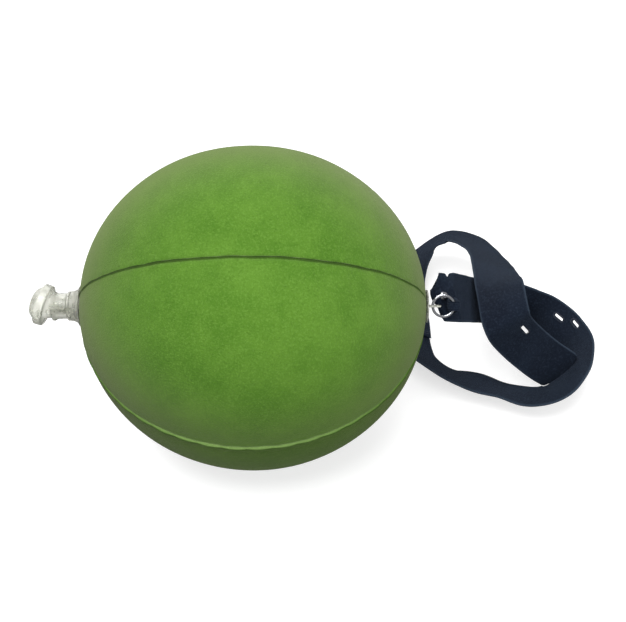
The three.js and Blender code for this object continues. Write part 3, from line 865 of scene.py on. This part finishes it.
class StrapPath:
    """Fine path of one strap length: centre, tangent, width and facing directions by distance."""

    def __init__(self, node):
        centres, across = strap_rows(node)
        steps = np.linalg.norm(np.diff(centres, axis=0), axis=1)
        places = np.concatenate([[0], np.cumsum(steps)])
        self.length = places[-1]
        # Rows crowd near both ends.
        near_ends = np.array([0.15, 0.4, 0.8, 1.3, 1.9, 2.6, 3.4]) * MM
        even = np.arange(0, self.length, STRAP_ROW)
        even = even[(even > 4 * MM) & (even < self.length - 4 * MM)]
        self.at = np.concatenate([[0], near_ends, even, (self.length - near_ends)[::-1], [self.length]])
        self.centre = smooth_through(centres, places, self.at)
        self.tangent = np.gradient(self.centre, self.at, axis=0)
        self.tangent /= np.linalg.norm(self.tangent, axis=1, keepdims=True)
        wide = smooth_through(across, places, self.at)
        wide -= self.tangent * np.sum(wide * self.tangent, axis=1, keepdims=True)
        self.across = wide / np.linalg.norm(wide, axis=1, keepdims=True)
        self.facing = np.cross(self.tangent, self.across)

    def locate(self, point):
        """(distance along, distance aside of the middle, facing) of a point on the strap."""
        arms = np.array(point) - self.centre
        aside = np.sum(arms * self.across, axis=1)
        miss = np.linalg.norm(arms - self.across * aside[:, None], axis=1)
        miss[np.abs(aside) > STRAP_WIDTH / 2 + MM] = 1
        row = int(np.argmin(miss))
        return self.at[row], aside[row], self.facing[row]

    def place(self, along):
        """Frame on the strap: X along it, Y across it, Z out of its face."""
        row = int(np.argmin(np.abs(self.at - along)))
        axes = [Vector(axis[row]) for axis in (self.tangent, self.across, self.facing)]
        return placed(Vector(self.centre[row]), *axes)


def strap_openings(node, path):
    """(distance along, distance aside, length) of each hole cut through the CAD strap."""
    # A hole's walls are upright mesh edges, about as long as the strap is thick.
    mesh = frame["nodes"][node].data
    found = []
    for edge in mesh.edges:
        first, second = (mesh.vertices[end].co for end in edge.vertices)
        span = (first - second).length
        if not STRAP_EDGE_THICKNESS + 0.02 * MM < span < 1.2 * STRAP_THICKNESS:
            continue
        along, aside, facing = path.locate((first + second) / 2)
        upright = abs((first - second).normalized().dot(Vector(facing))) > 0.9
        inside = 2 * MM < along < path.length - 2 * MM and abs(aside) < 0.46 * STRAP_WIDTH
        if upright and inside:
            found.append((along, aside))
    found.sort()
    groups = []
    for along, aside in found:
        for group in groups:
            if any(math.hypot(along - x, 3 * (aside - y)) < HOLE_SPREAD for x, y in group):
                group.append((along, aside))
                break
        else:
            groups.append([(along, aside)])
    openings = []
    for group in groups:
        alongs, asides = zip(*group)
        middle = (min(alongs) + max(alongs)) / 2
        openings.append((middle, (min(asides) + max(asides)) / 2, max(alongs) - min(alongs)))
    return openings


def stadium(length, width):
    """Round-ended outline, centred, its long way along X."""
    steps = 8
    reach = (length - width) / 2
    outline = []
    for side, start in ((1, -math.pi / 2), (-1, math.pi / 2)):
        for step in range(steps + 1):
            angle = start + math.pi * step / steps
            outline.append(Vector((side * reach + width / 2 * math.cos(angle),
                                   width / 2 * math.sin(angle))))
    return outline


def flap_change(along, wide):
    """
    Shape of the end behind the ring: (shift along, change of width, lift) in metres.
    The end is cut unevenly, its top edge is nicked and two gathers fall from the ring.
    """
    near = np.clip(1 - along / CUT_REACH, 0, 1) ** 2
    cut = np.interp(wide, CUT_PLACES, CUT_AWAY) * MM
    top = np.clip(wide, 0, 1) ** 3
    nick = NICK_DEPTH * np.exp(-((along - NICK_PLACE) / (1.3 * MM)) ** 2)
    droop = DROOP * np.clip(1 - along / (12 * MM), 0, 1)
    lift = 0
    for slope, height in ((8.5 * MM, 1.1 * MM), (-6 * MM, 0.9 * MM)):
        line = 8.5 * MM + slope * (wide - 0.55)
        fades = smooth_step((0.6 - wide) / 0.35) * smooth_step((wide + 1.1) / 0.5)
        lift = lift + height * fades * np.exp(-((along - line) / (1.2 * MM)) ** 2)
    gather = 0.4 * MM * np.exp(-along / (9 * MM)) * np.sin(wide * 9 + along / (3 * MM))
    return cut * near, -(nick + droop) * top, lift + gather


def strap_piece(node, path, round_end):
    """Soft woven band along the path, with thinner rolled edges and gentle unevenness."""
    turn = np.linspace(-math.pi / 2, math.pi / 2, STRAP_COLUMNS + 1)
    wide = np.sin(turn) * 0.35 + turn / (math.pi / 2) * 0.65
    fullness = 1 - 0.2 * wide ** 2
    rolled = np.sqrt(np.clip(1 - (np.clip(np.abs(wide) - 0.95, 0, 1) / 0.05) ** 2, 0, 1))
    ribs = RIB_DEPTH * np.cos(wide * STRAP_WIDTH / 2 / RIB_SPACING * 2 * math.pi)
    rings = []
    asides = []
    for row, along in enumerate(path.at):
        from_end = path.length - along
        corner = max(0.0, STRAP_END_CORNER - from_end) if round_end else 0.0
        inset = STRAP_END_CORNER - math.sqrt(max(STRAP_END_CORNER ** 2 - corner ** 2, 0))
        half = STRAP_WIDTH / 2 - inset
        sealed = 0.6 + 0.4 * min(1.0, min(along, from_end) / (1.5 * MM))
        shift = widen = lift = np.zeros_like(wide)
        if round_end:
            bulge = STRAP_END_BULGE * (1 - wide ** 2) + STRAP_END_SLANT * (1 + wide) / 2
            shift = bulge * smooth_step(1 - from_end / STRAP_END_REACH)
        else:
            shift, widen, lift = flap_change(along, wide)
        slow = 0.3 * MM * np.sin(along / (19 * MM) + 1.3 * wide) * np.sin(along / (31 * MM))
        cupped = 0.5 * MM * (wide ** 2 - 0.4) * np.sin(along / (43 * MM) + 0.7)
        frill = 0.12 * MM * np.abs(wide) ** 5 * np.sin(along / (2.9 * MM) + 2 * np.sign(wide))
        calm = smooth_step(min(along, from_end) / (9 * MM))
        middle = (slow + cupped) * calm + frill + lift
        thick = STRAP_THICKNESS / 2 * fullness * rolled * sealed
        spread = wide * half + widen
        place = path.centre[row] + spread[:, None] * path.across[row]
        place = place + shift[:, None] * path.tangent[row]
        front = place + (middle + thick + ribs * rolled)[:, None] * path.facing[row]
        back = place + (middle - thick - ribs * rolled)[:, None] * path.facing[row]
        rings.append(np.concatenate([front, back[-2:0:-1]]))
        asides.append(np.concatenate([spread, spread[-2:0:-1]]))
    piece = loft(node + "_woven", rings, FABRIC)
    across_mm = np.concatenate(asides) / MM
    set_attribute(piece, "along_mm", np.repeat(path.at, 2 * STRAP_COLUMNS) / MM)
    set_attribute(piece, "across_mm", across_mm)
    # Share of the painted edge highlight.
    set_attribute(piece, "edge", smooth_step((np.abs(across_mm) - 11.3) / 0.9))
    return piece


def stitched(name, runs):
    """Short raised threads from (start, end, up) runs, in one mesh."""
    points = []
    faces = []
    for start, end, up in runs:
        ahead = (end - start).normalized()
        side = ahead.cross(up)
        first = len(points)
        for step in range(6):
            t = step / 5
            arch = math.sin(math.pi * t)
            centre = start.lerp(end, t) + up * THREAD_RADIUS * (1.5 * arch - 0.7)
            size = THREAD_RADIUS * (0.55 + 0.45 * arch)
            for corner in range(6):
                angle = math.pi * corner / 3
                points.append(centre + (side * math.cos(angle) + up * math.sin(angle)) * size)
        faces += [tuple(first + point for point in face) for face in ring_faces(6, 6, False)]
    return new_piece(name, points, faces, THREAD)


def slot_stitches(place, length):
    """Buttonhole stitches round a slot, on both faces of the strap."""
    runs = []
    for face in (1, -1):
        height = face * STRAP_THICKNESS / 2
        up = place.to_3x3() @ Vector((0, 0, face))
        inner = densified(stadium(length + 0.15 * MM, SLOT_WIDTH + 0.15 * MM), 0.45 * MM)
        outer = densified(stadium(length + 2.2 * MM, SLOT_WIDTH + 2.2 * MM), 0.2 * MM)
        for point in inner:
            away = min(outer, key=lambda other: (other - point).length)
            start = place @ Vector((point.x, point.y, height))
            runs.append((start, place @ Vector((away.x, away.y, height)), up))
    return runs


def row_stitches(path, along, face):
    """A row of running stitches across the strap on one of its faces."""
    place = path.place(along)
    up = place.to_3x3() @ Vector((0, 0, face))
    height = face * (STRAP_THICKNESS / 2 - 0.02 * MM)
    runs = []
    for aside in np.arange(-STITCH_REACH, STITCH_REACH, STITCH_SPACING):
        start = place @ Vector((0, aside, height))
        runs.append((start, place @ Vector((0, aside + STITCH_LENGTH, height)), up))
    return runs


def strap_lengths():
    """Both lengths of strap, with their slots cut and bound and their join sewn."""
    for node, round_end in (("strap_ring_length", False), ("strap_free_length", True)):
        path = StrapPath(node)
        piece = strap_piece(node, path, round_end)
        runs = []
        for along, aside, length in strap_openings(node, path):
            place = path.place(along) @ Matrix.Translation((0, aside, 0))
            is_slot = length > 4 * MM
            slot_length = SLOT_LENGTH + (SLOT_STRETCH if round_end else 0)
            outline = stadium(slot_length, SLOT_WIDTH) if is_slot else stadium(STUD_HOLE, STUD_HOLE)
            lean = Matrix.Identity(4)
            lean[0][2] = SLOT_LEAN if round_end else 0
            cutter = slab("cutter", outline, 8 * STRAP_THICKNESS, 0.01 * MM, place @ lean, FABRIC)
            combined(piece, cutter, "DIFFERENCE")
            if is_slot:
                runs += slot_stitches(place, slot_length)
        # The join is where the free length starts and the other one ends, and its rows of
        # stitches are on each length's outer face.
        join = 0 if round_end else path.length
        inward = outer_face = 1 if round_end else -1
        for reach in JOIN_ROWS:
            runs += row_stitches(path, join + inward * reach * MM, outer_face)
        mend_attributes(piece, path)
        finish_piece(piece, "strap", "strap_fabric", node)
        finish_piece(stitched(node + "_thread", runs), "strap", "strap_fabric")


def mend_attributes(piece, path):
    """Gives the points that a cut made the strap distances that the material reads."""
    values = {name: np.zeros(len(piece.data.vertices), np.float32)
              for name in ("along_mm", "across_mm", "edge")}
    for name, numbers in values.items():
        piece.data.attributes[name].data.foreach_get("value", numbers)
    lost = (values["along_mm"] == 0) & (values["across_mm"] == 0)
    for index in np.flatnonzero(lost):
        along, aside, _ = path.locate(piece.data.vertices[index].co)
        values["along_mm"][index] = along / MM
        values["across_mm"][index] = aside / MM
    for name, numbers in values.items():
        piece.data.attributes[name].data.foreach_set("value", numbers)


def ring_loop():
    """Gathered band round the ring's wire: pleated where it is pulled in, spread where it is sewn."""
    reach = 9.6 * MM
    bend = 2.6 * MM
    steps = 20
    section_points = 48
    # (side of the wire, distance out along that leg, angle round the wire)
    path = [(-1, reach * (1 - step / steps), 0) for step in range(steps + 1)]
    path += [(0, 0, math.pi * step / steps) for step in range(1, steps)]
    path += [(1, reach * step / steps, 0) for step in range(steps + 1)]
    rings = []
    for side, leg, angle in path:
        if side:
            pinch = bend * (1 - 0.5 * smooth_step(leg / reach))
            centre = RING_TOP + OUTWARD * side * pinch + SIDE * leg
            up = OUTWARD * side
        else:
            up = -OUTWARD * math.cos(angle) - SIDE * math.sin(angle)
            centre = RING_TOP + up * bend
        width = (4.6 + 3.4 * smooth_step(leg / reach)) * MM
        section = []
        for a, b in oval_section(width, 1.1 * MM, section_points, 4):
            pleat = 0.22 * MM * math.cos(a / width * 2 * math.pi * 4)
            section.append((a, b + pleat))
        rings.append([centre + THROUGH * a + up * b for a, b in section])
    loop = loft("ring_loop_gathered", rings, FABRIC)
    along = np.repeat(np.arange(len(rings)) * 0.5, section_points)
    across = np.array([(vertex.co - RING_TOP).dot(THROUGH) / MM for vertex in loop.data.vertices])
    set_attribute(loop, "along_mm", along)
    set_attribute(loop, "across_mm", across)
    # Share of the painted edge highlight.
    set_attribute(loop, "edge", np.clip(np.abs(across) - 2.4, 0, 1) * 0.5)
    finish_piece(loop, "strap", "strap_fabric", "ring_loop")


def stud():
    """Chrome rivet through the end of the strap: domed head, post, washer and peened end."""
    cap = frame_vertices("stud_cap")
    middle = cap.mean(axis=0)
    facing = Vector(np.linalg.svd(cap - middle)[2][2])
    post = frame_vertices("stud_post")
    head_side = (post - middle) @ np.array(facing)
    if abs(head_side.min()) > head_side.max():
        facing = -facing
        head_side = -head_side
    side = facing.orthogonal().normalized()
    place = placed(Vector(middle), facing, side, facing.cross(side))
    top = head_side.max()
    bottom = head_side.min()
    head = 2.2 * MM
    shaft = 0.9 * MM
    post_piece = turned("stud_post_fine", [
        (bottom, 0, 0),
        (bottom, 1.5 * MM, 0.2 * MM),
        (bottom + 0.4 * MM, 1.5 * MM, 0.2 * MM),
        (bottom + 0.6 * MM, shaft, 0.2 * MM),
        (top - 1.3 * MM, shaft, 0.1 * MM),
        (top - 1.35 * MM, head - 0.5 * MM, 0.2 * MM),
        (top - 0.85 * MM, head, 0.3 * MM),
        (top - 0.2 * MM, head * 0.75, 1.0 * MM),
        (top, 0, 0),
    ], CHROME, place, segments=64)
    finish_piece(post_piece, "strap", "chrome", "stud_post")
    washer = turned("stud_cap_fine", [
        (-0.45 * MM, 1.2 * MM, 0.2 * MM),
        (-0.45 * MM, head, 0.3 * MM),
        (0.45 * MM, head, 0.3 * MM),
        (0.45 * MM, 1.2 * MM, 0.2 * MM),
    ], CHROME, place, segments=64)
    finish_piece(washer, "strap", "chrome", "stud_cap")


# ---- stage ----

def aimed(name, data, place, direction):
    """A lamp or a camera at a place, looking along a direction."""
    item = bpy.data.objects.new(name, data)
    item.location = place
    item.rotation_mode = "QUATERNION"
    item.rotation_quaternion = direction.to_track_quat("-Z", "Y")
    bpy.context.scene.collection.objects.link(item)
    return item


def soft_light(name, place, size, power, mirrored=True):
    """Round light aimed at the origin. One that isn't mirrored doesn't show in glossy pieces."""
    light = bpy.data.lights.new(name, "AREA")
    light.shape = "DISK"
    light.size = size
    light.energy = power
    lamp = aimed(name, light, place, -Vector(place))
    lamp.visible_glossy = mirrored


def stage():
    """Pale floor, soft lights and the camera."""
    bpy.ops.mesh.primitive_plane_add(size=12, location=(0, 0, cad_box[0].z - 0.0002))
    floor = bpy.context.object
    floor.name = "floor"
    floor.data.materials.append(floor_material())

    world = bpy.data.worlds.new("studio")
    bpy.context.scene.world = world
    world.use_nodes = True
    background = world.node_tree.nodes["Background"]
    background.inputs["Color"].default_value = (1, 1, 1, 1)
    seen = world.node_tree.nodes.new("ShaderNodeLightPath").outputs["Is Camera Ray"]
    strength = world.node_tree.nodes.new("ShaderNodeMapRange")
    strength.inputs["To Min"].default_value = 0.45
    world.node_tree.links.new(seen, strength.inputs["Value"])
    world.node_tree.links.new(strength.outputs["Result"], background.inputs["Strength"])

    soft_light("key", (-0.25, -0.35, 1.1), 0.9, 19)
    soft_light("fill", (0.35, -1.0, 0.35), 0.8, 9, mirrored=False)
    soft_light("back", (-0.4, 1.1, 0.6), 0.9, 7)

    camera = bpy.data.cameras.new("camera")
    camera.lens = CAMERA_LENS
    camera.sensor_width = 36
    camera.clip_start = 0.01
    back = Vector((0, -math.cos(CAMERA_ELEVATION), math.sin(CAMERA_ELEVATION)))
    view = aimed("camera", camera, CAMERA_AIM + back * CAMERA_DISTANCE, -back)
    bpy.context.scene.camera = view
    bpy.context.scene.view_settings.view_transform = "Standard"


for node in GORE_NODES:
    gore_piece(node)
pole_disc("valve_end_disc", VALVE_HOLE)
pole_disc("strap_end_disc", 0)
valve_body()
check_flap()
valve_plug()
plug_tether()
anchor_tab()
split_ring()
strap_lengths()
ring_loop()
stud()
stage()
